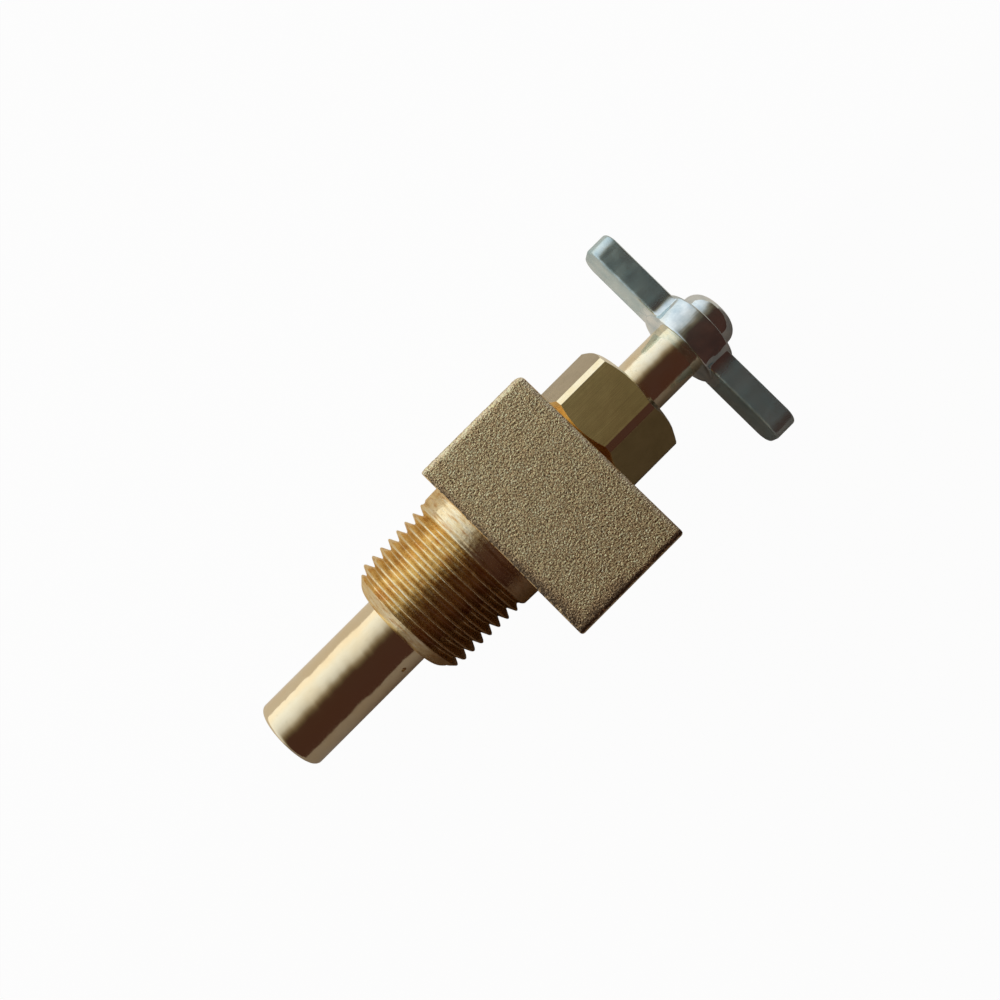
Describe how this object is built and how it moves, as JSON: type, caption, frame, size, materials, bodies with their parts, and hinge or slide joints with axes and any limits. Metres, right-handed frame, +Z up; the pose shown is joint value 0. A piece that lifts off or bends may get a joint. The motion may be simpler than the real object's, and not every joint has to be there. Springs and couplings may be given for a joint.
{
  "type": "fuel shut-off valve",
  "caption": "Brass fuel shut-off valve with a taper pipe thread and standpipe at one end, a side outlet, a packing nut and a screw-down stem with a T-handle.",
  "frame": {"origin": "on the valve axis, at the shoulder where the pipe thread meets the body", "axes": "+X along the valve axis towards the handle, outlet towards -Y, +Z up with the valve lying on the flat back of its body"},
  "size_m": [0.0728, 0.0322, 0.0196],
  "materials": {
    "body_brass": "matte",
    "tube_brass": "gloss",
    "nut_brass": "satin",
    "stem_brass": "gloss",
    "packing": "matte",
    "seat_rubber": "matte",
    "plated_zinc": "satin"
  },
  "bodies": {
    "valve": {"valve_body": "body_brass", "standpipe": "tube_brass", "packing_nut": "nut_brass", "packing_washer": "stem_brass", "packing_ring": "packing"},
    "jumper": {"jumper": "stem_brass", "seat_washer": "seat_rubber"},
    "spindle": {"stem": "stem_brass", "handle": "plated_zinc"}
  },
  "joints": [
    {"name": "stem_lift", "type": "slide", "parent": "valve", "child": "jumper", "axis": [1, 0, 0], "range_m": [0, 0.00375]},
    {"name": "handle_turn", "type": "hinge", "parent": "jumper", "child": "spindle", "pos_m": [0, 0, 0], "axis": [1, 0, 0], "range_deg": [0, 1080]}
  ],
  "couplings": [
    {"joint": "handle_turn", "follows": "stem_lift", "rad_per_m": 5026.5}
  ]
}
